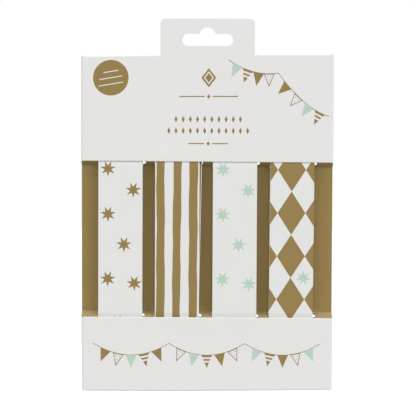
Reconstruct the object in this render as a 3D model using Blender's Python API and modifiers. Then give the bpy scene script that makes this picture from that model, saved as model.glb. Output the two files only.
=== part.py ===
"""A retail pack of paper chain strips: one folded card carton with a hang tab, and four stacks of strips.

Metres, +Z up, the front facing -Y. The origin is where a display peg bears, at the top of the hang hole.
"""

import math
import random

import bmesh
import bpy

# Carton, outside sizes
PACK_WIDTH = 0.159
HEADER_HEIGHT = 0.066
WINDOW_HEIGHT = 0.0985
FOOTER_HEIGHT = 0.047
BAND_HEIGHT = 0.0033
CARD = 0.0004
SIDE_FOLD_RADIUS = 0.002
TOP_FOLD_RADIUS = 0.0009
WINDOW_FOLD_RADIUS = 0.0005
FLOOR_FOLD_RADIUS = 0.0003
FOLD_SEGMENTS = 4
OUTER_FLOOR = 0.01165

# Hang tab, die-cut from the top wall and the header's back
TAB_WIDTH = 0.0592
TAB_HEIGHT = 0.024
TAB_CORNER_RADIUS = 0.003
TAB_CORNER_STEPS = 6
TAB_RELIEF = 0.0015
TAB_ROOT = 0.002
TAB_INSET = 0.00002

# Hang hole: a round-ended slot with a rise for the peg at its centre
HOLE_LENGTH = 0.032
HOLE_SLOT_HEIGHT = 0.0083
HOLE_RISE = 0.0042
HOLE_RISE_RADIUS = 0.0049
HOLE_FILLET = 0.001
HOLE_BELOW_TAB_TOP = 0.0055
HOLE_END_STEPS = 12
HOLE_RISE_STEPS = 16
HOLE_FILLET_STEPS = 4

# Paper strips
STRIP_WIDTH = 0.0277
STRIP_LENGTH = 0.190
STRIP_PAPER = 0.0002
STRIPS_IN_STACK = 25
LEAF_SHIFT = 0.0002
LEAST_SHARE_OF_SHIFT = 0.3
FRONT_STRIP_BOW = 0.0004
FRONT_STRIP_BOW_RUN = 0.003
FRONT_STRIP_BOW_STEPS = 4
TURNED_LEAF_FOOT = 0.0
TURNED_LEAF_HEAD = 0.0018

# Clearances
PIECE_GAP = 0.0003
FRONT_CLEARANCE = 0.0005
SLOT_CLEARANCE_LEFT = 0.0005
SLOT_CLEARANCE_RIGHT = 0.0017
SLOT_LIP = 0.0004
SLOT_OVERCUT = 0.0001
CUT_THROUGH = 0.0015

# Heights that follow, measured down from the peg
TAB_TOP = HOLE_BELOW_TAB_TOP
PACK_TOP = TAB_TOP - TAB_HEIGHT
WINDOW_TOP = PACK_TOP - HEADER_HEIGHT
WINDOW_BOTTOM = WINDOW_TOP - WINDOW_HEIGHT
PACK_BOTTOM = WINDOW_BOTTOM - FOOTER_HEIGHT

# Depths that follow, measured back from the front face
FRONT_STRIP_Y = CARD + FRONT_CLEARANCE
PILE_Y = FRONT_STRIP_Y + STRIP_PAPER + PIECE_GAP
FLOOR_Y = PILE_Y + (STRIPS_IN_STACK - 1) * STRIP_PAPER + PIECE_GAP
BACK_Y = FLOOR_Y + CARD

STRIP_BOTTOM = PACK_BOTTOM + CARD + PIECE_GAP
SLOT_WIDTH = STRIP_WIDTH + SLOT_CLEARANCE_LEFT + SLOT_CLEARANCE_RIGHT
STACK_OFFSET = (SLOT_CLEARANCE_LEFT - SLOT_CLEARANCE_RIGHT) / 2

# The stacks, left to right, with each one's colour and whether a leaf lies turned in it
STACKS = (
    ("gold_star", (0.70, 0.66, 0.56), False),
    ("wavy_stripe", (0.68, 0.64, 0.55), True),
    ("mint_star", (0.68, 0.72, 0.66), False),
    ("diamond", (0.62, 0.58, 0.47), False),
)
STACK_PITCH = (PACK_WIDTH - 2 * OUTER_FLOOR - STRIP_WIDTH) / (len(STACKS) - 1)


def clear_scene():
    for old in list(bpy.data.objects):
        bpy.data.objects.remove(old, do_unlink=True)


def new_collection(name):
    made = bpy.data.collections.new(name)
    bpy.context.scene.collection.children.link(made)
    return made


def paper_material(name, colour, roughness):
    made = bpy.data.materials.new(name)
    made.use_nodes = True
    shader = made.node_tree.nodes["Principled BSDF"]
    shader.inputs["Base Color"].default_value = (*colour, 1.0)
    shader.inputs["Roughness"].default_value = roughness
    shader.inputs["Metallic"].default_value = 0.0
    return made


def new_object(name, mesh, collection, material=None):
    made = bpy.data.objects.new(name, mesh)
    collection.objects.link(made)
    if material:
        mesh.materials.append(material)
    return made


def make_helper(made):
    """A cutter or a joined shape: it works through a modifier and isn't a part of its own."""
    made.hide_render = True
    made.display_type = "WIRE"
    return made


def arc(centre, radius, start, end, steps):
    """Points along an arc, with its angles in degrees."""
    points = []
    for step in range(steps + 1):
        angle = math.radians(start + (end - start) * step / steps)
        points.append((centre[0] + radius * math.cos(angle), centre[1] + radius * math.sin(angle)))
    return points


def flat_solid(name, outline, thickness, collection):
    """A filled outline in its local XY plane, centred in its thickness, as a welded mesh."""
    curve = bpy.data.curves.new(name, "CURVE")
    curve.dimensions = "2D"
    curve.fill_mode = "BOTH"
    curve.extrude = thickness / 2
    spline = curve.splines.new("POLY")
    spline.points.add(len(outline) - 1)
    for point, place in zip(spline.points, outline):
        point.co = (place[0], place[1], 0.0, 1.0)
    spline.use_cyclic_u = True
    drawn = bpy.data.objects.new(name + "_outline", curve)
    collection.objects.link(drawn)
    graph = bpy.context.evaluated_depsgraph_get()
    mesh = bpy.data.meshes.new_from_object(drawn.evaluated_get(graph))
    mesh.name = name
    bpy.data.objects.remove(drawn, do_unlink=True)
    shape = bmesh.new()
    shape.from_mesh(mesh)
    bmesh.ops.remove_doubles(shape, verts=shape.verts, dist=1e-7)
    bmesh.ops.recalc_face_normals(shape, faces=shape.faces)
    shape.to_mesh(mesh)
    shape.free()
    return new_object(name, mesh, collection)


def box(name, low, high, collection):
    """A block between two corners, with its origin at its centre."""
    mesh = bpy.data.meshes.new(name)
    shape = bmesh.new()
    bmesh.ops.create_cube(shape, size=1.0)
    bmesh.ops.scale(shape, verts=shape.verts, vec=[b - a for a, b in zip(low, high)])
    shape.to_mesh(mesh)
    shape.free()
    made = new_object(name, mesh, collection)
    made.location = [(a + b) / 2 for a, b in zip(low, high)]
    return made


def stand_up(made, y):
    """Turns an outline drawn in XY to stand in XZ at this depth."""
    made.rotation_euler = (math.pi / 2, 0.0, 0.0)
    made.location = (0.0, y, 0.0)
    return made


def boolean(target, operation, other):
    modifier = target.modifiers.new(other.name, "BOOLEAN")
    modifier.operation = operation
    modifier.solver = "EXACT"
    modifier.object = other


def carton_folds():
    """The card's outer face as (y, z), from the header's back to the footer's, with each fold's radius."""
    return (
        (BACK_Y, WINDOW_TOP, 0.0),
        (BACK_Y, PACK_TOP, TOP_FOLD_RADIUS),
        (0.0, PACK_TOP, TOP_FOLD_RADIUS),
        (0.0, WINDOW_TOP, WINDOW_FOLD_RADIUS),
        (FLOOR_Y, WINDOW_TOP - BAND_HEIGHT, FLOOR_FOLD_RADIUS),
        (FLOOR_Y, WINDOW_BOTTOM + BAND_HEIGHT, FLOOR_FOLD_RADIUS),
        (0.0, WINDOW_BOTTOM, WINDOW_FOLD_RADIUS),
        (0.0, PACK_BOTTOM, TOP_FOLD_RADIUS),
        (BACK_Y, PACK_BOTTOM, TOP_FOLD_RADIUS),
        (BACK_Y, WINDOW_BOTTOM, 0.0),
    )


def carton_surface():
    """The card's outer face with sharp folds: a row of panels, with side walls at its two ends."""
    folds = carton_folds()
    shape = bmesh.new()
    weight = shape.edges.layers.float.new("bevel_weight_edge")
    left = [shape.verts.new((-PACK_WIDTH / 2, y, z)) for y, z, _ in folds]
    right = [shape.verts.new((PACK_WIDTH / 2, y, z)) for y, z, _ in folds]
    for i in range(len(folds) - 1):
        shape.faces.new((left[i], left[i + 1], right[i + 1], right[i]))
    header = (0, 1, 2, 3)
    footer = (6, 7, 8, 9)
    for box_points in (header, footer):
        shape.faces.new([left[i] for i in reversed(box_points)])
        shape.faces.new([right[i] for i in box_points])
    for i, (_, _, radius) in enumerate(folds):
        shape.edges.get((left[i], right[i]))[weight] = radius / SIDE_FOLD_RADIUS
    for row in (left, right):
        for upright in ((0, 1), (2, 3), (6, 7), (8, 9)):
            shape.edges.get([row[i] for i in upright])[weight] = 1.0
        for end in ((1, 2), (7, 8)):
            shape.edges.get([row[i] for i in end])[weight] = TOP_FOLD_RADIUS / SIDE_FOLD_RADIUS
    mesh = bpy.data.meshes.new("carton")
    shape.to_mesh(mesh)
    shape.free()
    return mesh


def tab_outline():
    """The tab in XZ, from its root inside the front panel to its rounded top."""
    half = TAB_WIDTH / 2
    inner = half - TAB_CORNER_RADIUS
    corner_z = TAB_TOP - TAB_CORNER_RADIUS
    outline = [(-half, PACK_TOP - TAB_ROOT), (half, PACK_TOP - TAB_ROOT)]
    outline += arc((inner, corner_z), TAB_CORNER_RADIUS, 0, 90, TAB_CORNER_STEPS)
    outline += arc((-inner, corner_z), TAB_CORNER_RADIUS, 90, 180, TAB_CORNER_STEPS)
    return outline


def hole_outline():
    """The hang hole in XZ, anticlockwise from the foot of its right end."""
    end_radius = HOLE_SLOT_HEIGHT / 2
    end_x = HOLE_LENGTH / 2 - end_radius
    end_z = -HOLE_RISE - end_radius
    rise_z = -HOLE_RISE_RADIUS
    fillet_z = HOLE_FILLET - HOLE_RISE
    reach = HOLE_RISE_RADIUS + HOLE_FILLET
    fillet_x = math.sqrt(reach**2 - (fillet_z - rise_z) ** 2)
    lean = math.degrees(math.atan2(fillet_z - rise_z, fillet_x))
    outline = arc((end_x, end_z), end_radius, -90, 90, HOLE_END_STEPS)
    outline += arc((fillet_x, fillet_z), HOLE_FILLET, 270, 180 + lean, HOLE_FILLET_STEPS)
    outline += arc((0.0, rise_z), HOLE_RISE_RADIUS, lean, 180 - lean, HOLE_RISE_STEPS)[1:-1]
    outline += arc((-fillet_x, fillet_z), HOLE_FILLET, -lean, -90, HOLE_FILLET_STEPS)
    outline += arc((-end_x, end_z), end_radius, 90, 270, HOLE_END_STEPS)
    return outline


def slot_x(stack):
    """The middle of a stack's slot."""
    return (stack - (len(STACKS) - 1) / 2) * STACK_PITCH


def slot_cutter(name, stack, fold_z, towards_floor, helpers):
    """A block square to a slanted band, which cuts the slot that a stack passes through."""
    band_length = math.hypot(FLOOR_Y, BAND_HEIGHT)
    length = band_length + SLOT_OVERCUT - SLOT_LIP
    half = (SLOT_WIDTH / 2, length / 2, CARD + CUT_THROUGH)
    made = box(name, [-h for h in half], half, helpers)
    middle = (SLOT_LIP + length / 2) / band_length
    made.rotation_euler = (math.atan2(towards_floor * BAND_HEIGHT, FLOOR_Y), 0.0, 0.0)
    made.location = (slot_x(stack), FLOOR_Y * middle, fold_z + towards_floor * BAND_HEIGHT * middle)
    return make_helper(made)


def tab_opening(helpers):
    """What the tab leaves in the top wall and the header's back, with a relief cut at each side."""
    half = TAB_WIDTH / 2 + TAB_RELIEF
    bottom = PACK_TOP - (TAB_HEIGHT - BACK_Y)
    low = (-half, CARD - TAB_INSET / 2, bottom)
    high = (half, BACK_Y + CUT_THROUGH, PACK_TOP + CUT_THROUGH)
    return make_helper(box("tab_opening", low, high, helpers))


def add_carton(parts, helpers):
    material = paper_material("white_card", (0.77, 0.76, 0.74), 0.55)
    carton = new_object("carton", carton_surface(), parts, material)
    folds = carton.modifiers.new("folds", "BEVEL")
    folds.limit_method = "WEIGHT"
    folds.width = SIDE_FOLD_RADIUS
    folds.segments = FOLD_SEGMENTS
    thickness = carton.modifiers.new("card", "SOLIDIFY")
    thickness.thickness = CARD
    thickness.offset = -1.0
    thickness.use_even_offset = True

    boolean(carton, "DIFFERENCE", tab_opening(helpers))
    tab = flat_solid("hang_tab_shape", tab_outline(), CARD - 2 * TAB_INSET, helpers)
    boolean(carton, "UNION", make_helper(stand_up(tab, CARD / 2)))
    hole = flat_solid("hang_hole", hole_outline(), CARD + 2 * CUT_THROUGH, helpers)
    boolean(carton, "DIFFERENCE", make_helper(stand_up(hole, CARD / 2)))
    for stack, (design, _, _) in enumerate(STACKS):
        boolean(carton, "DIFFERENCE", slot_cutter(design + "_top_slot", stack, WINDOW_TOP, -1, helpers))
        boolean(carton, "DIFFERENCE", slot_cutter(design + "_bottom_slot", stack, WINDOW_BOTTOM, 1, helpers))
    return carton


def front_strip_y(z):
    """The front strip's face, a little forward in the window and back under the header and the footer."""
    inside = min(WINDOW_TOP - z, z - WINDOW_BOTTOM) / FRONT_STRIP_BOW_RUN
    rise = min(max(inside, 0.0), 1.0)
    return FRONT_STRIP_Y - FRONT_STRIP_BOW * rise * rise * (3 - 2 * rise)


def front_strip_rows():
    """Heights of the rows that carry the strip's shape, from its foot to its head."""
    count = FRONT_STRIP_BOW_STEPS
    steps = [FRONT_STRIP_BOW_RUN * step / count for step in range(count + 1)]
    rows = [STRIP_BOTTOM]
    rows += [WINDOW_BOTTOM + step for step in steps]
    rows += [WINDOW_TOP - step for step in reversed(steps)]
    rows.append(STRIP_BOTTOM + STRIP_LENGTH)
    return rows


def add_front_strip(design, colour, x, parts):
    """The strip that faces the window, as one open sheet given its thickness."""
    mesh = bpy.data.meshes.new(design + "_front_strip")
    shape = bmesh.new()
    pairs = []
    for z in front_strip_rows():
        y = front_strip_y(z)
        pairs.append([shape.verts.new((side * STRIP_WIDTH / 2, y, z)) for side in (-1, 1)])
    for lower, upper in zip(pairs, pairs[1:]):
        shape.faces.new((lower[0], lower[1], upper[1], upper[0]))
    shape.to_mesh(mesh)
    shape.free()
    material = paper_material(design + "_strip_paper", colour, 0.6)
    strip = new_object(design + "_front_strip", mesh, parts, material)
    strip.location = (x, 0.0, 0.0)
    paper = strip.modifiers.new("paper", "SOLIDIFY")
    paper.thickness = STRIP_PAPER
    paper.offset = -1.0
    return strip


def leaf_shifts(turned, seed):
    """How far each leaf of a pile lies to the side at its foot and at its head, front leaf first."""
    chance = random.Random(seed)
    shifts = []
    for leaf in range(STRIPS_IN_STACK - 1):
        side = -1 if leaf % 2 else 1
        foot = side * chance.uniform(LEAST_SHARE_OF_SHIFT, 1.0) * LEAF_SHIFT
        head = side * chance.uniform(LEAST_SHARE_OF_SHIFT, 1.0) * LEAF_SHIFT
        shifts.append((foot, head))
    if turned:
        shifts[0] = (TURNED_LEAF_FOOT, TURNED_LEAF_HEAD)
    return shifts


def pile_outline(shifts):
    """A pile seen from above, each leaf shifted a little from the ones beside it."""
    left = []
    right = []
    for leaf, shift in enumerate(shifts):
        for y in (PILE_Y + leaf * STRIP_PAPER, PILE_Y + (leaf + 1) * STRIP_PAPER):
            left.append((shift - STRIP_WIDTH / 2, y))
            right.append((shift + STRIP_WIDTH / 2, y))
    return right + left[::-1]


def add_pile(design, colour, x, turned, seed, parts):
    """The rest of the stack as one solid, like a book's pages: a loft from its foot to its head."""
    shifts = leaf_shifts(turned, seed)
    shape = bmesh.new()
    rings = []
    for end, z in ((0, 0.0), (1, STRIP_LENGTH)):
        outline = pile_outline([shift[end] for shift in shifts])
        rings.append([shape.verts.new((px, py, z)) for px, py in outline])
    foot, head = rings
    for i in range(len(foot)):
        following = (i + 1) % len(foot)
        shape.faces.new((foot[i], foot[following], head[following], head[i]))
    shape.faces.new(foot[::-1])
    shape.faces.new(head)
    mesh = bpy.data.meshes.new(design + "_strip_pile")
    shape.to_mesh(mesh)
    shape.free()
    material = paper_material(design + "_pile_paper", colour, 0.7)
    pile = new_object(design + "_strip_pile", mesh, parts, material)
    pile.location = (x, 0.0, STRIP_BOTTOM)
    return pile


def main():
    clear_scene()
    parts = new_collection("paper_chain_strip_pack")
    helpers = new_collection("cutters")
    pack = bpy.data.objects.new("paper_chain_strip_pack", None)
    parts.objects.link(pack)
    pieces = [add_carton(parts, helpers)]
    for stack, (design, colour, turned) in enumerate(STACKS):
        x = slot_x(stack) + STACK_OFFSET
        pieces.append(add_front_strip(design, colour, x, parts))
        pieces.append(add_pile(design, colour, x, turned, stack, parts))
    for piece in pieces:
        piece.parent = pack


main()
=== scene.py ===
"""The looks of a retail pack of paper chain strips: its printed card, its printed strips, light and camera.

Metres, +Z up, the front facing -Y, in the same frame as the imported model.
"""

import math
import random

import bmesh
import bpy
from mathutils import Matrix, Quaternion, Vector
from mathutils.geometry import delaunay_2d_cdt


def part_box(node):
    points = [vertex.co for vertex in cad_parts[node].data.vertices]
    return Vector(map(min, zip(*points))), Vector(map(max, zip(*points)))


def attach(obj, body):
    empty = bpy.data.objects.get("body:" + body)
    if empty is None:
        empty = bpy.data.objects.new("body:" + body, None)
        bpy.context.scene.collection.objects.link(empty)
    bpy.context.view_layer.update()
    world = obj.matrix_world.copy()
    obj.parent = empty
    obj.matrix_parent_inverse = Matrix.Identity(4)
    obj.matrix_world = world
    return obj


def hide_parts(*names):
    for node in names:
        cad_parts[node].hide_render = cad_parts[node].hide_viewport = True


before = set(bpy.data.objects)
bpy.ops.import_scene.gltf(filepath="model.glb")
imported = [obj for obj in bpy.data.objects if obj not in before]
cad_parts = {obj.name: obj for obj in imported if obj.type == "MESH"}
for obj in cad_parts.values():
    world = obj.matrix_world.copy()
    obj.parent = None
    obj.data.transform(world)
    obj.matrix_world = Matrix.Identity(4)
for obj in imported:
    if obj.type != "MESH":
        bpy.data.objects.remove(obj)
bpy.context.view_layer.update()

MM = 0.001
TINY = 1e-9
carton_low, carton_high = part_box("carton")

# Carton: the outside from the frame, and the folds between
HALF_WIDTH = carton_high.x
BACK_Y = carton_high.y
TAB_TOP = carton_high.z
PACK_BOTTOM = carton_low.z
PACK_TOP = TAB_TOP - 24.0 * MM
WINDOW_TOP = PACK_TOP - 66.0 * MM
WINDOW_BOTTOM = PACK_BOTTOM + 47.0 * MM
BAND_HEIGHT = 3.3 * MM
CARD = 0.4 * MM
FLOOR_Y = BACK_Y - CARD
SIDE_FOLD = 2.0 * MM
TOP_FOLD = 0.9 * MM
WINDOW_FOLD = 0.5 * MM
FLOOR_FOLD = 0.3 * MM
FOLD_STEPS = 6
WALL_EDGE = 0.1 * MM
WALL_GAP = 0.05 * MM
FOLD_MARGIN = 0.3 * MM
PANEL_SAG = 0.2 * MM
# How far the ink is paled on each band and along the floor's folds: by wear along the folds and on the upper
# band, and on the lower band mostly by a painted highlight where it faces up into the light, with some wear
UPPER_BAND_WEAR = 0.15
LOWER_BAND_HIGHLIGHT_AND_WEAR = 0.55
FLOOR_FOLD_WEAR = 0.3

# How far apart the points of each part lie at most
COLUMN_SPACING = 5 * MM
PANEL_SPACING = 6 * MM
BACK_SPACING = 8 * MM
WALL_SPACING = 2 * MM
BAND_SPACING = MM
FLOOR_SPACING = 5 * MM
STRIP_SPACING = 8 * MM

# Hang tab and its hole
TAB_HALF = 29.6 * MM
TAB_CORNER = 3.0 * MM
TAB_RELIEF = 1.5 * MM
TAB_OPENING_FOOT = PACK_TOP - 17.1 * MM
HOLE_HALF_LENGTH = 16.0 * MM
HOLE_SLOT_HEIGHT = 8.3 * MM
HOLE_RISE = 4.2 * MM
HOLE_RISE_RADIUS = 4.9 * MM
HOLE_FILLET = 1.0 * MM
TAB_CORNER_STEPS = 10
HOLE_END_STEPS = 20
HOLE_FILLET_STEPS = 6
HOLE_RISE_STEPS = 28

# Slots and strips
DESIGNS = ("gold_star", "wavy_stripe", "mint_star", "diamond")
STACK_PITCH = 36.0 * MM
SLOT_LIP = 0.4 * MM
SLOT_CLEARANCE = 0.15 * MM
# How far a slot reaches to the right of its middle, and how deep the band is cut beside its strip
UPPER_SLOT_REACH = 15.15 * MM
LOWER_SLOT_REACH = 14.5 * MM
NOTCH_STEP = 0.5 * MM
UPPER_NOTCH_DEPTHS = (4.0 * MM, 4.5 * MM, 4.8 * MM)
LOWER_NOTCH_DEPTHS = (4.2 * MM, 4.7 * MM, 5.0 * MM)
STRIP_PAPER = 0.2 * MM
STRIP_BOW = 0.4 * MM
STRIP_BOW_RUN = 3.0 * MM
STRIP_BOW_STEPS = 8
LEAF_BOW_STEPS = 4
# How far each stack leans, in degrees, and how far it lies to the right
STRIP_TILTS = {"gold_star": 0.12, "wavy_stripe": 0.04, "mint_star": 0.12, "diamond": 0.36}
STRIP_SHIFTS = {"gold_star": -0.15 * MM, "wavy_stripe": -0.4 * MM, "mint_star": 0.0, "diamond": 0.0}
LEAVES = 24
LEAF_SHIFT = 0.12 * MM
LEAF_FANS = {"wavy_stripe": 0.6 * MM}
LEAF_SHARE_OF_PITCH = 0.94
LEAF_CLEARANCE = 0.05 * MM
LEAF_PAPER, LEAF_EDGE, LEAF_INK = 0, 1, 2
# A leaf that lies turned: which one from the front, and how far its foot, head and print lie to the right
TURNED_LEAF = {"wavy_stripe": (6, -0.92 * MM, 2.64 * MM, 0.3 * MM)}

# Ink numbers, which are also the material slots of a printed face
PLAIN, GOLD, MINT = 0, 1, 2
HOLE = None

# How the real carton's folds stray, in millimetres: each height's shift up at its left, middle and right
FOLD_SHIFTS = (
    (TAB_TOP, (-0.5, -0.5, -0.5)),
    (PACK_TOP + 10.0 * MM, (-0.1, -0.1, -0.1)),
    (PACK_TOP, (0.0, 1.1, 1.6)),
    (WINDOW_TOP, (0.45, 0.0, -0.4)),
    (WINDOW_BOTTOM, (0.15, -0.23, -0.55)),
    (PACK_BOTTOM, (0.11, 0.11, 0.95)),
)
# How far each height's left and right sides stand in from the full width, in millimetres
SIDE_SHIFTS = (
    (WINDOW_BOTTOM, (0.0, 0.0)),
    (PACK_BOTTOM, (0.43, 0.0)),
)

# Camera, which stands where the photograph was taken
CAMERA_TARGET = Vector((0.00051, 0.0, -0.11376))
CAMERA_DISTANCE = 1.0
CAMERA_ELEVATION = 2.78
CAMERA_AZIMUTH = -0.42
CAMERA_ROLL = 0.17
CAMERA_LENS = 137.35
CAMERA_SENSOR = 36.0

# Stage: the floor with the greys it throws back and shows, and how bright the dome is below and above
FLOOR_DROP = 0.27
FLOOR_SIZE = 6.0
FLOOR_THROWN = 0.4
FLOOR_SEEN = 0.92
DOME_BELOW = 0.42
DOME_ABOVE = 1.56
# Each key light's name, direction, strength, and spread in degrees
KEYS = (
    ("right_key", (1.2, -1.0, 0.75), 0.85, 25),
    ("left_key", (-1.2, -1.0, 0.9), 0.45, 40),
)

# Colours, as linear red, green and blue
WHITE_CARD = (0.775, 0.768, 0.758)
WHITE_PAPER = (0.765, 0.763, 0.750)
# The strips' cut edges, greyer than their face: partly the edge's own colour, partly painted shade on the
# stacks' sides between the leaves
SHADED_CUT_PAPER = (0.590, 0.575, 0.540)
GOLD_INK = (0.290, 0.199, 0.066)
# Pale gold that the ink is mixed towards: wear along the folds, and a painted highlight on the lower band
WEAR_AND_HIGHLIGHT_GOLD = (0.62, 0.53, 0.31)
MINT_INK = (0.475, 0.630, 0.530)
BOARD = (0.66, 0.645, 0.61)


def arc(centre, radius, start, end, steps):
    """Points along an arc, with its angles in degrees."""
    points = []
    for step in range(steps + 1):
        angle = math.radians(start + (end - start) * step / steps)
        points.append((centre[0] + radius * math.cos(angle), centre[1] + radius * math.sin(angle)))
    return points


def spread(start, end, longest):
    """Evenly spaced values from one to the other, no further apart than this."""
    count = max(1, math.ceil(abs(end - start) / longest - 1e-6))
    return [start + (end - start) * step / count for step in range(count + 1)]


def between(value, table):
    """A value read from a table of heights, from the top down, straight between two heights."""
    if value >= table[0][0]:
        return table[0][1]
    for (high, upper), (low, lower) in zip(table, table[1:]):
        if value >= low:
            share = (high - value) / (high - low)
            return tuple(a + (b - a) * share for a, b in zip(upper, lower))
    return table[-1][1]


def hand_folded(place):
    """A point of the ideal carton moved to where it lies on the one that was folded by hand."""
    side = place.x / HALF_WIDTH
    left, middle, right = between(place.z, FOLD_SHIFTS)
    lift = middle + (right - left) / 2 * side + ((left + right) / 2 - middle) * side * side
    left_inset, right_inset = between(place.z, SIDE_SHIFTS)
    inset = (right_inset if side > 0 else left_inset) * side**3
    return Vector((place.x - inset * MM, place.y, place.z + lift * MM))


class Sheet:
    """A thin sheet drawn by its printed face, each point with its outward direction, then given thickness."""

    def __init__(self):
        self.shape = bmesh.new()
        self.outward = self.shape.verts.layers.float_vector.new("outward")
        # Each point's share of paler ink: wear along the folds, and a painted highlight on the lower band
        self.wear_and_highlight = self.shape.verts.layers.float.new("wear_and_highlight")

    def vertex(self, place, outward, wear_and_highlight=0.0):
        made = self.shape.verts.new(place)
        made[self.outward] = outward
        made[self.wear_and_highlight] = wear_and_highlight
        return made

    def face(self, corners, ink):
        made = self.shape.faces.new(corners)
        made.normal_update()
        if made.normal.dot(corners[0][self.outward]) < 0:
            made.normal_flip()
        made.material_index = ink

    def grid(self, rows, ink, keep=lambda row, column: True):
        """Quads between rows of points, where keep says so."""
        made = [[self.vertex(*point) for point in row] for row in rows]
        for i in range(len(rows) - 1):
            for j in range(len(rows[0]) - 1):
                if keep(i, j):
                    self.face((made[i][j], made[i][j + 1], made[i + 1][j + 1], made[i + 1][j]), ink)

    def panel(self, outline, motifs, guides, lines, place):
        """An outline filled round its motifs, with the later motif on top. A hole's ink is None."""
        flat = [Vector(point) for point in outline]
        faces = [list(range(len(flat)))]
        inks = [PLAIN]
        for ink, points in motifs:
            faces.append(list(range(len(flat), len(flat) + len(points))))
            flat += [Vector(point) for point in points]
            inks.append(ink)
        flat += [Vector(point) for point in guides]
        edges = []
        for start, end in lines:
            edges.append((len(flat), len(flat) + 1))
            flat += [Vector(start), Vector(end)]
        points, _, triangles, _, _, origins = delaunay_2d_cdt(flat, edges, faces, 1, 1e-7)
        made = [self.vertex(*place(*point)) for point in points]
        for corners, inside in zip(triangles, origins):
            ink = inks[max(inside)] if inside else HOLE
            if 0 in inside and ink is not HOLE:
                self.face([made[i] for i in corners], ink)

    def thicken(self, thickness, inks):
        """Adds the sheet's other face and its cut edges, in the plain materials after the inks."""
        shape = self.shape
        bmesh.ops.remove_doubles(shape, verts=shape.verts, dist=2e-6)
        loose = [vertex for vertex in shape.verts if not vertex.link_faces]
        bmesh.ops.delete(shape, geom=loose, context="VERTS")
        outer = list(shape.faces)
        rim = [edge for edge in shape.edges if len(edge.link_faces) == 1]
        inner = {}
        for vertex in list(shape.verts):
            inner[vertex] = self.vertex(
                vertex.co - Vector(vertex[self.outward]).normalized() * thickness,
                -Vector(vertex[self.outward]),
                vertex[self.wear_and_highlight],
            )
        for face in outer:
            made = shape.faces.new([inner[vertex] for vertex in reversed(face.verts)])
            made.material_index = inks
        for edge in rim:
            loop = edge.link_loops[0]
            first = loop.vert
            second = loop.link_loop_next.vert
            made = shape.faces.new((second, first, inner[first], inner[second]))
            made.material_index = inks + 1

    def finish(self, name, materials, node):
        mesh = bpy.data.meshes.new(name)
        self.shape.to_mesh(mesh)
        self.shape.free()
        return add_piece(name, mesh, materials, node)


def add_piece(name, mesh, materials, node):
    """A finished mesh as a piece that stands for a node of the model."""
    for material in materials:
        mesh.materials.append(material)
    mesh.shade_smooth()
    mesh.set_sharp_from_angle(angle=math.radians(35))
    made = bpy.data.objects.new(name, mesh)
    bpy.context.scene.collection.objects.link(made)
    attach(made, "root")
    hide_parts(node)
    return made


# Materials


def paper_material(name, colour, roughness, mottle, grain, bump, highlight_and_wear=None):
    """Paper or ink on paper: cloudy colour, a fine fibre relief, and paler ink, for wear along creases and
    for a painted highlight on the up-facing lower band.
    """
    made = bpy.data.materials.new(name)
    made.use_nodes = True
    nodes = made.node_tree.nodes
    links = made.node_tree.links
    shader = nodes["Principled BSDF"]
    shader.inputs["Roughness"].default_value = roughness
    shader.inputs["Specular IOR Level"].default_value = 0.25
    place = nodes.new("ShaderNodeTexCoord")

    clouds = nodes.new("ShaderNodeTexNoise")
    clouds.inputs["Scale"].default_value = 70.0
    clouds.inputs["Detail"].default_value = 6.0
    fibres = nodes.new("ShaderNodeTexNoise")
    fibres.inputs["Scale"].default_value = 1.0 / grain
    fibres.inputs["Detail"].default_value = 4.0
    for noise in (clouds, fibres):
        links.new(place.outputs["Object"], noise.inputs["Vector"])
    blend = nodes.new("ShaderNodeMath")
    blend.operation = "ADD"
    links.new(clouds.outputs["Fac"], blend.inputs[0])
    links.new(fibres.outputs["Fac"], blend.inputs[1])
    share = nodes.new("ShaderNodeMapRange")
    share.inputs["From Min"].default_value = 0.7
    share.inputs["From Max"].default_value = 1.3
    links.new(blend.outputs["Value"], share.inputs["Value"])
    tint = nodes.new("ShaderNodeMix")
    tint.data_type = "RGBA"
    tint.inputs["A"].default_value = (*[c * (1 - mottle) for c in colour], 1.0)
    tint.inputs["B"].default_value = (*[c * (1 + mottle) for c in colour], 1.0)
    links.new(share.outputs["Result"], tint.inputs["Factor"])
    coloured = tint.outputs["Result"]

    # Paler ink: real wear along the folds, and on the lower band mostly a painted highlight
    if highlight_and_wear:
        wear_and_highlight = nodes.new("ShaderNodeAttribute")
        wear_and_highlight.attribute_name = "wear_and_highlight"
        paling_share = nodes.new("ShaderNodeMath")
        paling_share.operation = "MULTIPLY"
        links.new(wear_and_highlight.outputs["Fac"], paling_share.inputs[0])
        links.new(fibres.outputs["Fac"], paling_share.inputs[1])
        paling = nodes.new("ShaderNodeMix")
        paling.data_type = "RGBA"
        paling.inputs["B"].default_value = (*highlight_and_wear, 1.0)
        links.new(paling_share.outputs["Value"], paling.inputs["Factor"])
        links.new(coloured, paling.inputs["A"])
        coloured = paling.outputs["Result"]
    links.new(coloured, shader.inputs["Base Color"])

    relief = nodes.new("ShaderNodeBump")
    relief.inputs["Strength"].default_value = bump
    relief.inputs["Distance"].default_value = 0.05 * MM
    links.new(fibres.outputs["Fac"], relief.inputs["Height"])
    links.new(relief.outputs["Normal"], shader.inputs["Normal"])
    return made


# Printed motifs, as closed outlines


def star(centre, radius, up=False, points=7, waist=0.42):
    """A star with one point straight down, or straight up."""
    outline = []
    start = 90 if up else -90
    for corner in range(2 * points):
        angle = math.radians(start + corner * 180 / points)
        reach = radius if corner % 2 == 0 else radius * waist
        outline.append((centre[0] + reach * math.cos(angle), centre[1] + reach * math.sin(angle)))
    return outline


def lozenge(centre, width, height):
    x, z = centre
    return [(x, z - height / 2), (x + width / 2, z), (x, z + height / 2), (x - width / 2, z)]


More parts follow.
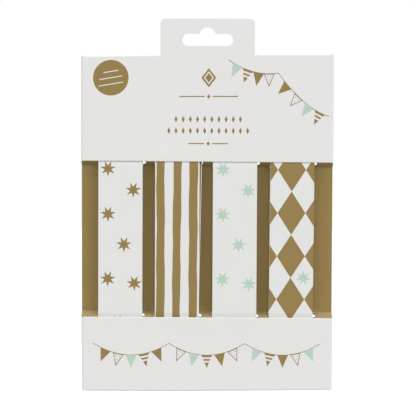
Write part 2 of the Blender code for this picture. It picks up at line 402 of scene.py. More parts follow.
def bar(centre, length, height, turn=0.0):
    """A straight bar, turned about its middle by this many degrees."""
    c = math.cos(math.radians(turn))
    s = math.sin(math.radians(turn))
    outline = []
    for u, v in ((-1, -1), (1, -1), (1, 1), (-1, 1)):
        x = u * length / 2
        z = v * height / 2
        outline.append((centre[0] + x * c - z * s, centre[1] + x * s + z * c))
    return outline


def disc(centre, radius, steps=72):
    return arc(centre, radius, 0, 360, steps)[:-1]


def ribbon(points, width):
    """A line of even width through these points."""
    left = []
    right = []
    for i, point in enumerate(points):
        before = Vector(points[max(i - 1, 0)])
        after = Vector(points[min(i + 1, len(points) - 1)])
        along = (after - before).normalized() * width / 2
        left.append((point[0] - along.y, point[1] + along.x))
        right.append((point[0] + along.y, point[1] - along.x))
    return right + left[::-1]


STRING_WIDTH = 0.4 * MM
PENNANT_WIDTH = 6.8 * MM
PENNANT_HEIGHT = 8.2 * MM
PENNANT_KINDS = ("gold", "dots", "mint", "bars")
# A flag's bars, white middle and dots, as shares of its half width and its height
PENNANT_BARS = ((0.16, 0.30), (0.44, 0.58))
PENNANT_MIDDLE = ((-0.8, 0.06), (0, 0.84), (0.8, 0.06))
PENNANT_DOTS = ((-0.32, 0.2), (0.32, 0.2), (0, 0.46))
DOT_RADIUS = 0.55 * MM
DOT_STEPS = 10
STRING_STEPS = 24


def pennant(top, along, kind):
    """One flag of a bunting, hanging from the middle of its top edge."""
    down = Vector((along.y, -along.x))
    if down.y > 0:
        down = -down

    def at(across, drop):
        return tuple(top + along * across * PENNANT_WIDTH / 2 + down * drop * PENNANT_HEIGHT)

    motifs = [(MINT if kind == "mint" else GOLD, [at(-1, 0), at(0, 1), at(1, 0)])]
    if kind == "bars":
        for high, low in PENNANT_BARS:
            corners = [at(high - 1, high), at(low - 1, low), at(1 - low, low), at(1 - high, high)]
            motifs.append((PLAIN, corners))
    if kind == "dots":
        motifs.append((PLAIN, [at(*corner) for corner in PENNANT_MIDDLE]))
        for dot in PENNANT_DOTS:
            motifs.append((MINT, disc(at(*dot), DOT_RADIUS, DOT_STEPS)))
    return motifs


def bunting(start, end, sag, flags, first):
    """Flags on a string that sags between two points."""
    start = Vector(start) * MM
    end = Vector(end) * MM

    def at(share):
        return start.lerp(end, share) - Vector((0.0, 4 * sag * MM * share * (1 - share)))

    string = [tuple(at(step / STRING_STEPS)) for step in range(STRING_STEPS + 1)]
    motifs = [(GOLD, ribbon(string, STRING_WIDTH))]
    for flag in range(flags):
        share = 0.08 + 0.84 * (flag + 0.5) / flags
        along = (at(share + 0.01) - at(share - 0.01)).normalized()
        motifs += pennant(at(share), along, PENNANT_KINDS[(first + flag) % len(PENNANT_KINDS)])
    return motifs


# The header's and the footer's print, in millimetres across from the middle and up from the hole's top
ROUNDEL = (-60.7, -32.4)
ROUNDEL_RADIUS = 11.15
# Each bar's place in the roundel, and its length
ROUNDEL_BARS = (((0.1, 3.9), 9.5), ((0.1, 0.0), 14.5), ((0.1, -4.0), 15.5))
ROUNDEL_BAR_HEIGHT = 0.55
ROUNDEL_TURN = 9
BADGE = (0.8, -32.8)
BADGE_LOZENGES = ((GOLD, 9.4, 11.8), (PLAIN, 6.4, 8.2), (GOLD, 4.6, 5.9))
RULES = ((0.7, -44.3, 37.0), (0.5, -73.4, 25.0))
# Each row of lozenges: its height and how many it has
LOZENGE_ROWS = ((-58.4, 10), (-65.5, 12))
LOZENGE_MIDDLE = 0.5
LOZENGE_PITCH = 4.5
# Each bunting's two ends, sag, number of flags and first kind
HEADER_BUNTINGS = (
    ((13.0, -21.8), (44.5, -30.0), 3.2, 4, 2),
    ((44.5, -30.0), (76.6, -56.5), 4.2, 4, 0),
)
FOOTER_SWAGS = 3
FOOTER_SWAG_WIDTH = 48.0
FOOTER_SWAG_SAG = 7.5
FOOTER_SWAG_FLAGS = 5
FOOTER_LEFT = -72.0
FOOTER_STRING = -199.5


def header_print():
    """A plain roundel, a lozenge, ruled lines and rows of lozenges, and bunting down the right."""
    roundel = Vector(ROUNDEL) * MM
    motifs = [(GOLD, disc(roundel, ROUNDEL_RADIUS * MM))]
    for place, length in ROUNDEL_BARS:
        line = roundel + Vector(place) * MM
        motifs.append((PLAIN, bar(line, length * MM, ROUNDEL_BAR_HEIGHT * MM, ROUNDEL_TURN)))
    badge = Vector(BADGE) * MM
    for ink, width, height in BADGE_LOZENGES:
        motifs.append((ink, lozenge(badge, width * MM, height * MM)))
    for x, z, length in RULES:
        motifs.append((GOLD, bar((x * MM, z * MM), length * MM, 0.7 * MM)))
        motifs.append((PLAIN, bar((x * MM, z * MM), 5.0 * MM, 1.2 * MM)))
        motifs.append((GOLD, lozenge((x * MM, z * MM), 2.2 * MM, 2.8 * MM)))
    for z, count in LOZENGE_ROWS:
        for i in range(count):
            x = LOZENGE_MIDDLE + (i - (count - 1) / 2) * LOZENGE_PITCH
            motifs.append((GOLD, lozenge((x * MM, z * MM), 2.0 * MM, 4.2 * MM)))
    for line in HEADER_BUNTINGS:
        motifs += bunting(*line)
    return motifs


def footer_print():
    """Swags of bunting, side by side."""
    motifs = []
    for swag in range(FOOTER_SWAGS):
        left = FOOTER_LEFT + FOOTER_SWAG_WIDTH * swag
        start = (left, FOOTER_STRING)
        end = (left + FOOTER_SWAG_WIDTH, FOOTER_STRING)
        motifs += bunting(start, end, FOOTER_SWAG_SAG, FOOTER_SWAG_FLAGS, swag)
    return motifs


# Each star's place on its strip, in millimetres: across from the middle, and down from the window's top
STAR_PLACES = (
    (-7.8, 4.6), (8.1, 18.0), (-7.8, 33.2), (2.3, 52.4), (-7.9, 74.1), (8.9, 77.0), (-1.8, 102.0),
    (8.0, 118.0), (-7.8, 131.0), (6.5, -12.0), (-3.0, -24.0), (7.6, -36.0),
)
STAR_RADIUS = 5.1 * MM
# How far the mint strip's print lies off those places, also in millimetres
MINT_PRINT_SHIFT = (0.2, 0.35)

# Each stripe's two edges across the strip, in millimetres, at the window's top, middle and bottom
STRIPE_EDGES = (
    ((-13.15, -12.9, -13.3), (-7.95, -7.8, -7.75)),
    ((-2.2, -2.7, -3.0), (3.0, 2.3, 2.0)),
    ((7.6, 7.5, 7.4), (13.15, 12.85, 12.6)),
)
STRIPE_SWAY = 0.16 * MM

DIAMOND_WIDTH = 17.65 * MM
DIAMOND_HEIGHT = 27.3 * MM
DIAMOND_MIDDLE = -0.3 * MM
DIAMOND_FIRST = 5.1 * MM
DIAMOND_DRIFT = 0.06 * MM
DIAMOND_STAR = (7.5, 73.4)
DIAMOND_STAR_RADIUS = 4.85 * MM


def star_print(ink, across=0.0, down=0.0):
    motifs = []
    for x, z in STAR_PLACES:
        place = ((x + across) * MM, WINDOW_TOP - (z + down) * MM)
        motifs.append((ink, star(place, STAR_RADIUS)))
    return motifs


def stripe_print(foot, head):
    """Stripes with hand-drawn edges, which run past both ends of the strip."""
    chance = random.Random(7)
    window = WINDOW_TOP - WINDOW_BOTTOM
    motifs = []
    for edges in STRIPE_EDGES:
        sides = []
        for top, middle, bottom in edges:
            phase = chance.uniform(0, 2 * math.pi)
            side = []
            for z in spread(foot - MM, head + MM, 4 * MM):
                down = min(max((WINDOW_TOP - z) / window, -0.2), 1.2)
                bend = (top + bottom) / 2 - middle
                x = (top + (bottom - top) * down) * MM - 4 * bend * MM * down * (1 - down)
                sway = math.sin(2 * math.pi * z / (41 * MM) + phase)
                sway += 0.5 * math.sin(2 * math.pi * z / (17 * MM) + 2 * phase)
                side.append((x + STRIPE_SWAY * sway, z))
            sides.append(side)
        motifs.append((GOLD, sides[1] + sides[0][::-1]))
    return motifs


def diamond_print(foot, head):
    """Gold lozenges point to point, so that white ones lie between them, and one mint star."""
    motifs = []
    for row in range(-3, 8):
        z = WINDOW_TOP - DIAMOND_FIRST - row * DIAMOND_HEIGHT
        if foot - DIAMOND_HEIGHT < z < head + DIAMOND_HEIGHT:
            for column in (-1, 0, 1):
                x = DIAMOND_MIDDLE + column * DIAMOND_WIDTH - row * DIAMOND_DRIFT
                motifs.append((GOLD, lozenge((x, z), DIAMOND_WIDTH, DIAMOND_HEIGHT)))
    x, z = DIAMOND_STAR
    motifs.append((MINT, star((x * MM, WINDOW_TOP - z * MM), DIAMOND_STAR_RADIUS, up=True)))
    return motifs


# Carton


def turned(direction, angle):
    c = math.cos(angle)
    s = math.sin(angle)
    return Vector((direction.x * c - direction.y * s, direction.x * s + direction.y * c))


def fold_arcs():
    """Each fold's arc as (y, z, outward y, outward z), from the header's back to the footer's back."""
    corners = (
        (BACK_Y, WINDOW_TOP, 0.0),
        (BACK_Y, PACK_TOP, TOP_FOLD),
        (0.0, PACK_TOP, TOP_FOLD),
        (0.0, WINDOW_TOP, WINDOW_FOLD),
        (FLOOR_Y, WINDOW_TOP - BAND_HEIGHT, FLOOR_FOLD),
        (FLOOR_Y, WINDOW_BOTTOM + BAND_HEIGHT, FLOOR_FOLD),
        (0.0, WINDOW_BOTTOM, WINDOW_FOLD),
        (0.0, PACK_BOTTOM, TOP_FOLD),
        (BACK_Y, PACK_BOTTOM, TOP_FOLD),
        (BACK_Y, WINDOW_BOTTOM, 0.0),
    )
    arcs = []
    for i, (y, z, radius) in enumerate(corners):
        here = Vector((y, z))
        if radius == 0.0:
            arcs.append([(y, z, 1.0, 0.0)])
            continue
        into = (here - Vector(corners[i - 1][:2])).normalized()
        out = (Vector(corners[i + 1][:2]) - here).normalized()
        turn = math.atan2(into.x * out.y - into.y * out.x, into.dot(out))
        reach = radius * math.tan(abs(turn) / 2)
        start = here - into * reach
        across = turned(into, math.copysign(math.pi / 2, turn))
        centre = start + across * radius
        points = []
        for step in range(FOLD_STEPS + 1):
            angle = turn * step / FOLD_STEPS
            place = centre + turned(-across, angle) * radius
            outward = turned(turned(into, -math.pi / 2), angle)
            points.append((*place, *outward))
        arcs.append(points)
    return arcs


def slot_x(stack):
    return (stack - (len(DESIGNS) - 1) / 2) * STACK_PITCH


def strip_middle(design, z):
    """The middle of a front strip at this height, as it lies a little askew."""
    low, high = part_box(design + "_front_strip")
    lean = math.tan(math.radians(STRIP_TILTS[design]))
    return (low.x + high.x) / 2 + STRIP_SHIFTS[design] + (z - (WINDOW_TOP + WINDOW_BOTTOM) / 2) * lean


def slot_ends(fold, reach):
    """Each slot's left end, its strip's right side and its right end, in the band at this fold."""
    ends = []
    for stack, design in enumerate(DESIGNS):
        low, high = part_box(design + "_front_strip")
        middle = strip_middle(design, fold)
        half = (high.x - low.x) / 2 + SLOT_CLEARANCE
        ends.append((middle - half, middle + half, slot_x(stack) + reach))
    return ends


def slot_open(ends, notch_depths, x, depth):
    """Whether a slot is open here. Beside its strip, it is only cut so deep along the band."""
    for left, beside, right in ends:
        if left < x < beside:
            return True
        if beside < x < right:
            step = min(int((right - x) / NOTCH_STEP), len(notch_depths) - 1)
            return depth < notch_depths[step]
    return False


def carton_columns(slots):
    """Where the card is divided across its width, with every cut's edge among them."""
    flat = HALF_WIDTH - SIDE_FOLD
    outer = HALF_WIDTH - WALL_EDGE
    marks = [-outer, -flat, flat, outer]
    marks += [side * (TAB_HALF + TAB_RELIEF) for side in (-1, 1)]
    for left, beside, right in slots:
        marks += [left, beside]
        marks += [right - NOTCH_STEP * step for step in range(len(UPPER_NOTCH_DEPTHS))]
    for x in spread(-flat, flat, COLUMN_SPACING):
        if all(abs(x - mark) > MM for mark in marks):
            marks.append(x)
    return sorted(marks)


def panel_rows(start, end):
    """Rows of a front panel from its foot to its head, close together beside the folds."""
    rows = [start, start + FOLD_MARGIN]
    rows += spread(start + FOLD_MARGIN, end - FOLD_MARGIN, PANEL_SPACING)[1:-1]
    rows += [end - FOLD_MARGIN, end]
    return rows


def front_place(foot, head):
    """How a front panel's flat drawing lies in the carton, a little sunk in its middle."""
    flat = HALF_WIDTH - SIDE_FOLD

    def place(x, z):
        across = max(0.0, 1 - (x / flat) ** 2)
        share = (z - foot) / (head - foot)
        up = max(0.0, 4 * share * (1 - share))
        return (x, PANEL_SAG * across * up, z), (0.0, -1.0, 0.0)

    return place


def hole_outline():
    """The hang hole, anticlockwise from the foot of its right end."""
    end_radius = HOLE_SLOT_HEIGHT / 2
    end_x = HOLE_HALF_LENGTH - end_radius
    end_z = -HOLE_RISE - end_radius
    rise_z = -HOLE_RISE_RADIUS
    fillet_z = HOLE_FILLET - HOLE_RISE
    reach = HOLE_RISE_RADIUS + HOLE_FILLET
    fillet_x = math.sqrt(reach**2 - (fillet_z - rise_z) ** 2)
    lean = math.degrees(math.atan2(fillet_z - rise_z, fillet_x))
    outline = arc((end_x, end_z), end_radius, -90, 90, HOLE_END_STEPS)
    outline += arc((fillet_x, fillet_z), HOLE_FILLET, 270, 180 + lean, HOLE_FILLET_STEPS)
    outline += arc((0.0, rise_z), HOLE_RISE_RADIUS, lean, 180 - lean, HOLE_RISE_STEPS)[1:-1]
    outline += arc((-fillet_x, fillet_z), HOLE_FILLET, -lean, -90, HOLE_FILLET_STEPS)
    outline += arc((-end_x, end_z), end_radius, 90, 270, HOLE_END_STEPS)
    return outline


def front_panel(sheet, rows, columns, motifs, tab):
    """A front panel with its print, and with the hang tab where it has one."""
    flat = HALF_WIDTH - SIDE_FOLD
    inside = [x for x in columns if abs(x) <= flat + TINY]
    foot = rows[0]
    head = rows[-1]
    outline = [(x, foot) for x in inside]
    outline += [(flat, z) for z in rows[1:-1]]
    if tab:
        relief = TAB_HALF + TAB_RELIEF
        corner_x = TAB_HALF - TAB_CORNER
        corner_z = TAB_TOP - TAB_CORNER
        outline += [(x, head) for x in reversed(inside) if x > relief - TINY]
        outline.append((TAB_HALF, head))
        outline += arc((corner_x, corner_z), TAB_CORNER, 0, 90, TAB_CORNER_STEPS)
        outline += arc((-corner_x, corner_z), TAB_CORNER, 90, 180, TAB_CORNER_STEPS)
        outline.append((-TAB_HALF, head))
        outline += [(x, head) for x in reversed(inside) if x < TINY - relief]
    else:
        outline += [(x, head) for x in reversed(inside)]
    outline += [(-flat, z) for z in reversed(rows[1:-1])]
    guides = [(x, z) for x in inside[1:-1] for z in rows[1:-1]]
    guides += [(side * (flat - FOLD_MARGIN), z) for side in (-1, 1) for z in rows[1:-1]]
    sheet.panel(outline, motifs, guides, [], front_place(foot, head))


def side_wall(sheet, side, panel, low, high):
    """A side fold and side wall, joined to the front panel along its flat part's rows."""
    flat = HALF_WIDTH - SIDE_FOLD
    points = []
    for step in range(FOLD_STEPS + 1):
        angle = math.radians(90) * step / FOLD_STEPS
        outward = (side * math.sin(angle), -math.cos(angle))
        place = (side * (flat + SIDE_FOLD * math.sin(angle)), SIDE_FOLD * (1 - math.cos(angle)))
        points.append((*place, *outward))
    points.append((side * HALF_WIDTH, BACK_Y - CARD - WALL_GAP, side, 0.0))
    rows = [low, *panel, high]
    made = [[((x, y, z), (ox, oy, 0.0)) for x, y, ox, oy in points] for z in rows]
    sheet.grid(made, PLAIN)


def path_rows(points, columns, wear_and_highlight=0.0):
    """Points of a fold or wall that runs the whole width, one row for each point of its section."""
    return [[((x, y, z), (0.0, oy, oz), wear_and_highlight) for x in columns] for y, z, oy, oz in points]


def wall_points(start, end, longest, marks=()):
    """A flat wall's section from the end of one fold to the start of the next."""
    y0, z0, oy, oz = start
    y1, z1 = end[:2]
    length = math.hypot(y1 - y0, z1 - z0)
    shares = [step / length for step in spread(0.0, length, longest)]
    shares = [s for s in shares if all(abs(s * length - mark) > 0.05 * MM for mark in marks)]
    shares = sorted(shares + [mark / length for mark in marks])
    return [(y0 + (y1 - y0) * s, z0 + (z1 - z0) * s, oy, oz) for s in shares]


def add_band_corner(sheet, section, side):
    """Fills a slanted band out to its side, along the rounding of the side fold in front of it."""
    flat = HALF_WIDTH - SIDE_FOLD
    outer = HALF_WIDTH - WALL_EDGE
    y0, z0, oy, oz = section[0]
    y1, z1 = section[-1][:2]
    inner_side = [(flat, y) for y, *_ in section if y < SIDE_FOLD + TINY]
    rounding = []
    for step in range(FOLD_STEPS + 1):
        angle = math.asin((outer - flat) / SIDE_FOLD) * (1 - step / FOLD_STEPS)
        y = SIDE_FOLD * (1 - math.cos(angle))
        rounding.append((flat + SIDE_FOLD * math.sin(angle), max(y, y0)))
    places = inner_side + [(outer, SIDE_FOLD)] + rounding
    corners = []
    for x, y in dict.fromkeys(places):
        if math.dist((x, y), (flat, y0)) < 1e-6 and corners:
            continue
        z = z0 + (z1 - z0) * (y - y0) / (y1 - y0)
        corners.append(sheet.vertex((side * x, y, z), (0.0, oy, oz)))
    sheet.face(corners, GOLD)


def add_carton(inks, board, edge):
    """The folded card: header, slanted bands and sunk floor, and footer, as one sheet."""
    sheet = Sheet()
    upper_slots = slot_ends(WINDOW_TOP, UPPER_SLOT_REACH)
    lower_slots = slot_ends(WINDOW_BOTTOM, LOWER_SLOT_REACH)
    columns = carton_columns(upper_slots + lower_slots)
    middles = [(a + b) / 2 for a, b in zip(columns, columns[1:])]
    (
        header_end, back_top, front_top, upper_rim, upper_floor,
        lower_floor, lower_rim, front_foot, back_foot, footer_end,
    ) = fold_arcs()
    relief = TAB_HALF + TAB_RELIEF
    flat = HALF_WIDTH - SIDE_FOLD
    inside_walls = HALF_WIDTH - CARD - WALL_GAP
    tucked = [max(-inside_walls, min(inside_walls, x)) for x in columns]

    def within(row, column):
        return abs(middles[column]) < flat

    def clear_of_tab(row, column):
        return abs(middles[column]) > relief

    header = panel_rows(upper_rim[0][1], front_top[-1][1])
    footer = panel_rows(front_foot[0][1], lower_rim[-1][1])
    front_panel(sheet, header, columns, header_print() + [(HOLE, hole_outline())], tab=True)
    front_panel(sheet, footer, columns, footer_print(), tab=False)
    for side in (-1, 1):
        side_wall(sheet, side, header, WINDOW_TOP + WALL_GAP, PACK_TOP - WALL_GAP)
        side_wall(sheet, side, footer, PACK_BOTTOM + WALL_GAP, WINDOW_BOTTOM - WALL_GAP)

    header_back = wall_points(header_end[0], back_top[0], BACK_SPACING, (TAB_OPENING_FOOT - WINDOW_TOP,))

    def header_back_kept(row, column):
        return header_back[row][1] < TAB_OPENING_FOOT - TINY or clear_of_tab(row, column)

    def front_top_kept(row, column):
        return clear_of_tab(row, column) and within(row, column)

    top = wall_points(back_top[-1], front_top[0], WALL_SPACING)
    sheet.grid(path_rows(header_back, columns), PLAIN, header_back_kept)
    sheet.grid(path_rows(back_top, tucked), PLAIN, clear_of_tab)
    sheet.grid(path_rows(top, tucked), PLAIN, clear_of_tab)
    sheet.grid(path_rows(front_top, columns), PLAIN, front_top_kept)

    bottom = wall_points(front_foot[-1], back_foot[0], WALL_SPACING)
    footer_back = wall_points(back_foot[-1], footer_end[0], BACK_SPACING)
    sheet.grid(path_rows(front_foot, columns), PLAIN, within)
    sheet.grid(path_rows(bottom, tucked), PLAIN)
    sheet.grid(path_rows(back_foot, tucked), PLAIN)
    sheet.grid(path_rows(footer_back, columns), PLAIN)

    band_length = math.hypot(FLOOR_Y, BAND_HEIGHT)
    slant = math.pi / 2 + math.atan2(BAND_HEIGHT, FLOOR_Y)
    window_reach = WINDOW_FOLD * math.tan((math.pi - slant) / 2)
    lip = SLOT_LIP - window_reach
    side_reach = SIDE_FOLD * band_length / FLOOR_Y - window_reach
    lower_start = (*lower_rim[0][:2], *lower_floor[-1][2:])

    for start, end, slots, notch_depths, fold, paling in (
        (upper_rim[-1], upper_floor[0], upper_slots, UPPER_NOTCH_DEPTHS, upper_floor, UPPER_BAND_WEAR),
        # The lower band's paler ink is mostly a painted highlight, where it faces up into the light, with
        # some wear
        (lower_start, lower_floor[-1], lower_slots, LOWER_NOTCH_DEPTHS, lower_floor, LOWER_BAND_HIGHLIGHT_AND_WEAR),
    ):
        notches = [depth - window_reach for depth in notch_depths]
        section = wall_points(start, end, BAND_SPACING, (lip, side_reach, *notches))

        def along(row):
            return (section[row][0] + section[row + 1][0]) / 2 * band_length / FLOOR_Y

        def cut(row, column):
            return slot_open(slots, notch_depths, middles[column], along(row))

        def band_kept(row, column):
            if within(row, column):
                return not cut(row, column)
            return along(row) > SIDE_FOLD * band_length / FLOOR_Y

        def lip_kept(row, column):
            return within(row, column) and cut(row, column) and along(row) < SLOT_LIP

        def fold_kept(row, column):
            return not slot_open(slots, notch_depths, middles[column], band_length)

        sheet.grid(path_rows(section, columns, paling), GOLD, band_kept)
        sheet.grid(path_rows(section, columns, paling), PLAIN, lip_kept)
        sheet.grid(path_rows(fold, columns, FLOOR_FOLD_WEAR), GOLD, fold_kept)
        for side in (-1, 1):
            add_band_corner(sheet, section, side)
    for fold in (upper_rim, lower_rim):
        sheet.grid(path_rows(fold, columns), PLAIN, within)
    sheet.grid(path_rows(wall_points(upper_floor[-1], lower_floor[0], FLOOR_SPACING), columns), GOLD)

    sheet.thicken(CARD, len(inks))
    for vertex in sheet.shape.verts:
        vertex.co = hand_folded(vertex.co)
    return sheet.finish("folded_carton", [*inks, board, edge], "carton")


# Strips


def bow(z):
    """How far a strip has come forward at this height: 1 in the window, 0 under the header and the footer."""
    inside = min(WINDOW_TOP - z, z - WINDOW_BOTTOM) / STRIP_BOW_RUN
    rise = min(max(inside, 0.0), 1.0)
    return rise * rise * (3 - 2 * rise)


def add_front_strip(design, motifs, inks, edge):
    """The strip that faces the window, printed and lying a little askew."""
    node = design + "_front_strip"
    low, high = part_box(node)
    half = (high.x - low.x) / 2

    def place(u, z):
        return (strip_middle(design, z) + u, low.y + STRIP_BOW * (1 - bow(z)), z), (0.0, -1.0, 0.0)

    sheet = Sheet()
    outline = [(-half, low.z), (half, low.z), (half, high.z), (-half, high.z)]
    lines = []
    for end in (-1, 1):
        fold = WINDOW_TOP if end > 0 else WINDOW_BOTTOM
        for step in range(STRIP_BOW_STEPS + 1):
            z = fold - end * STRIP_BOW_RUN * step / STRIP_BOW_STEPS
            lines.append(((-half, z), (half, z)))
    for z in spread(WINDOW_BOTTOM, WINDOW_TOP, STRIP_SPACING)[1:-1]:
        lines.append(((-half, z), (half, z)))
    sheet.panel(outline, motifs, [], lines, place)
    sheet.thicken(STRIP_PAPER, len(inks))
    return sheet.finish(node + "_printed", [*inks, inks[PLAIN], edge], node)


def add_leaf(shape, stations, cuts, depth):
    """One thin leaf from its foot up, its front divided at the cuts, plain and inked by turns."""
    fronts = [[shape.verts.new((x + cut, y, z)) for cut in cuts] for x, y, z in stations]
    backs = [[shape.verts.new((x + cut, y + depth, z)) for cut in cuts] for x, y, z in stations]

    def face(corners, material):
        shape.faces.new(corners).material_index = material

    for i in range(len(cuts) - 1):
        j = i + 1
        for s in range(len(stations) - 1):
            t = s + 1
            face((fronts[s][i], fronts[s][j], fronts[t][j], fronts[t][i]), LEAF_INK if i % 2 else LEAF_PAPER)
            face((backs[t][i], backs[t][j], backs[s][j], backs[s][i]), LEAF_PAPER)
        face((backs[0][i], backs[0][j], fronts[0][j], fronts[0][i]), LEAF_EDGE)
        face((fronts[-1][i], fronts[-1][j], backs[-1][j], backs[-1][i]), LEAF_EDGE)
    for s in range(len(stations) - 1):
        t = s + 1
        face((fronts[s][0], fronts[t][0], backs[t][0], backs[s][0]), LEAF_EDGE)
        face((fronts[s][-1], backs[s][-1], backs[t][-1], fronts[t][-1]), LEAF_EDGE)


def add_pile(design, seed, paper, edge, ink):
    """The leaves behind the front strip, each shifted and turned a little, and bowed forward with it."""
    node = design + "_strip_pile"
    low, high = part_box(node)
    front_low, front_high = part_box(design + "_front_strip")
    half = (front_high.x - front_low.x) / 2
    foot_x = strip_middle(design, low.z)
    head_x = strip_middle(design, high.z)
    pitch = (high.y - low.y) / LEAVES
    spare = low.y - front_low.y - STRIP_PAPER - LEAF_CLEARANCE
    bend = STRIP_BOW_RUN / LEAF_BOW_STEPS
    heights = [low.z, *spread(WINDOW_BOTTOM, WINDOW_BOTTOM + STRIP_BOW_RUN, bend)]
    heights += [*spread(WINDOW_TOP - STRIP_BOW_RUN, WINDOW_TOP, bend), high.z]
    chance = random.Random(seed)
    shape = bmesh.new()
    for leaf in range(LEAVES):
        foot, head = [chance.uniform(-LEAF_SHIFT, LEAF_SHIFT) for _ in range(2)]
        head += chance.uniform(0.0, LEAF_FANS.get(design, 0.0)) * (1 - leaf / LEAVES)
        cuts = [-half, half]
        if design in TURNED_LEAF and leaf == TURNED_LEAF[design][0]:
            foot, head, print_shift = TURNED_LEAF[design][1:]
            cuts[1:1] = [edges[0] * MM + print_shift for stripe in STRIPE_EDGES for edges in stripe]
        stations = []
        for z in heights:
            up = (z - low.z) / (high.z - low.z)
            x = (foot_x + foot) * (1 - up) + (head_x + head) * up
            stations.append((x, low.y + leaf * pitch - spare * (1 - leaf / LEAVES) * bow(z), z))
        add_leaf(shape, stations, cuts, pitch * LEAF_SHARE_OF_PITCH)
    mesh = bpy.data.meshes.new(node + "_leaves")
    shape.to_mesh(mesh)
    shape.free()
    return add_piece(node + "_leaves", mesh, [paper, edge, ink], node)


# Stage


def add_floor():
    """A pale floor well below the pack, which hangs."""
    mesh = bpy.data.meshes.new("floor")
    shape = bmesh.new()
    bmesh.ops.create_grid(shape, x_segments=1, y_segments=1, size=FLOOR_SIZE)
    shape.to_mesh(mesh)
    shape.free()
    floor = bpy.data.objects.new("floor", mesh)
    floor.location = (0.0, 0.0, PACK_BOTTOM - FLOOR_DROP)
    bpy.context.scene.collection.objects.link(floor)
    mesh.materials.append(floor_material())


def seen_directly(nodes, links):
    """1 for a ray from the camera, or for a reflection or a view through glass, and 0 for other light."""
    path = nodes.new("ShaderNodeLightPath")
    seen = path.outputs["Is Camera Ray"]
    for ray in ("Is Glossy Ray", "Is Transmission Ray"):
        either = nodes.new("ShaderNodeMath")
        either.operation = "MAXIMUM"
        links.new(seen, either.inputs[0])
        links.new(path.outputs[ray], either.inputs[1])
        seen = either.outputs["Value"]
    return seen


def floor_material():
    """White to the eye and under a shadow, and duller in the light that it throws back up."""
    made = bpy.data.materials.new("floor_white")
    made.use_nodes = True
    nodes = made.node_tree.nodes
    links = made.node_tree.links
    nodes.clear()
    output = nodes.new("ShaderNodeOutputMaterial")
    mix = nodes.new("ShaderNodeMixShader")
    links.new(seen_directly(nodes, links), mix.inputs["Fac"])
    for socket, grey in ((1, FLOOR_THROWN), (2, FLOOR_SEEN)):
        diffuse = nodes.new("ShaderNodeBsdfDiffuse")
        diffuse.inputs["Color"].default_value = (grey, grey, grey, 1.0)
        links.new(diffuse.outputs["BSDF"], mix.inputs[socket])
    links.new(mix.outputs["Shader"], output.inputs["Surface"])
    return made


def add_world(low, high):
    """A soft dome, brighter above, and white where the camera or a reflection sees past the floor."""
    world = bpy.data.worlds.new("studio")
    bpy.context.scene.world = world
    world.use_nodes = True
    nodes = world.node_tree.nodes
    links = world.node_tree.links
    nodes.clear()
    output = nodes.new("ShaderNodeOutputWorld")
    place = nodes.new("ShaderNodeTexCoord")
    split = nodes.new("ShaderNodeSeparateXYZ")
    links.new(place.outputs["Generated"], split.inputs["Vector"])
    rise = nodes.new("ShaderNodeMapRange")
    rise.inputs["From Min"].default_value = -1.0
    rise.inputs["From Max"].default_value = 1.0
    rise.inputs["To Min"].default_value = low
    rise.inputs["To Max"].default_value = high
    links.new(split.outputs["Z"], rise.inputs["Value"])
    light = nodes.new("ShaderNodeBackground")
    links.new(rise.outputs["Result"], light.inputs["Strength"])
    white = nodes.new("ShaderNodeBackground")
    white.inputs["Color"].default_value = (1.0, 1.0, 1.0, 1.0)
    white.inputs["Strength"].default_value = 1.0
    mix = nodes.new("ShaderNodeMixShader")
    links.new(seen_directly(nodes, links), mix.inputs["Fac"])
    links.new(light.outputs["Background"], mix.inputs[1])
    links.new(white.outputs["Background"], mix.inputs[2])
    links.new(mix.outputs["Shader"], output.inputs["Surface"])


def add_lamp(name, towards, strength, spread_angle):
    """A soft, even light from far off in this direction."""
    data = bpy.data.lights.new(name, "SUN")
    data.energy = strength
    data.angle = math.radians(spread_angle)
    lamp = bpy.data.objects.new(name, data)
    lamp.rotation_mode = "QUATERNION"
    lamp.rotation_quaternion = Vector(towards).to_track_quat("Z", "Y")
    bpy.context.scene.collection.objects.link(lamp)


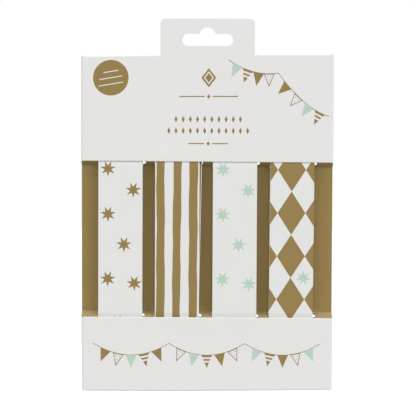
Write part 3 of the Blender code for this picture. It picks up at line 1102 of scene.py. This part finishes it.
def add_camera():
    azimuth = math.radians(CAMERA_AZIMUTH)
    elevation = math.radians(CAMERA_ELEVATION)
    back = Vector((
        math.sin(azimuth) * math.cos(elevation),
        -math.cos(azimuth) * math.cos(elevation),
        math.sin(elevation),
    ))
    data = bpy.data.cameras.new("camera")
    data.lens = CAMERA_LENS
    data.sensor_width = CAMERA_SENSOR
    data.clip_start = 0.05
    camera = bpy.data.objects.new("camera", data)
    camera.location = CAMERA_TARGET + back * CAMERA_DISTANCE
    camera.rotation_mode = "QUATERNION"
    aim = (-back).to_track_quat("-Z", "Y")
    camera.rotation_quaternion = aim @ Quaternion((0.0, 0.0, 1.0), math.radians(CAMERA_ROLL))
    bpy.context.scene.collection.objects.link(camera)
    bpy.context.scene.camera = camera


def main():
    bpy.context.scene.view_settings.view_transform = "Standard"
    # Each with its colour, roughness, mottle, grain and bump
    card = paper_material("white_card", WHITE_CARD, 0.5, 0.012, 0.9 * MM, 0.25)
    card_gold = paper_material("card_gold_ink", GOLD_INK, 0.45, 0.035, 0.5 * MM, 0.3, highlight_and_wear=WEAR_AND_HIGHLIGHT_GOLD)
    card_mint = paper_material("card_mint_ink", MINT_INK, 0.5, 0.02, 0.5 * MM, 0.25)
    board = paper_material("card_inside", BOARD, 0.8, 0.05, 0.6 * MM, 0.5)
    card_edge = paper_material("card_edge", BOARD, 0.85, 0.06, 0.3 * MM, 0.6)
    paper = paper_material("strip_paper", WHITE_PAPER, 0.6, 0.012, 0.6 * MM, 0.25)
    paper_gold = paper_material("strip_gold_ink", GOLD_INK, 0.5, 0.03, 0.4 * MM, 0.25)
    paper_mint = paper_material("strip_mint_ink", MINT_INK, 0.55, 0.02, 0.4 * MM, 0.25)
    # Cut edges, darkened partly as painted shade between the leaves
    paper_edge = paper_material("strip_edge", SHADED_CUT_PAPER, 0.8, 0.04, 0.3 * MM, 0.5)

    add_carton((card, card_gold, card_mint), board, card_edge)
    strip_inks = (paper, paper_gold, paper_mint)
    strip_low, strip_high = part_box("gold_star_front_strip")
    prints = {
        "gold_star": star_print(GOLD),
        "wavy_stripe": stripe_print(strip_low.z, strip_high.z),
        "mint_star": star_print(MINT, *MINT_PRINT_SHIFT),
        "diamond": diamond_print(strip_low.z, strip_high.z),
    }
    for seed, design in enumerate(DESIGNS):
        add_front_strip(design, prints[design], strip_inks, paper_edge)
        add_pile(design, seed, paper, paper_edge, paper_gold)

    add_floor()
    add_world(DOME_BELOW, DOME_ABOVE)
    for key in KEYS:
        add_lamp(*key)
    add_camera()


main()
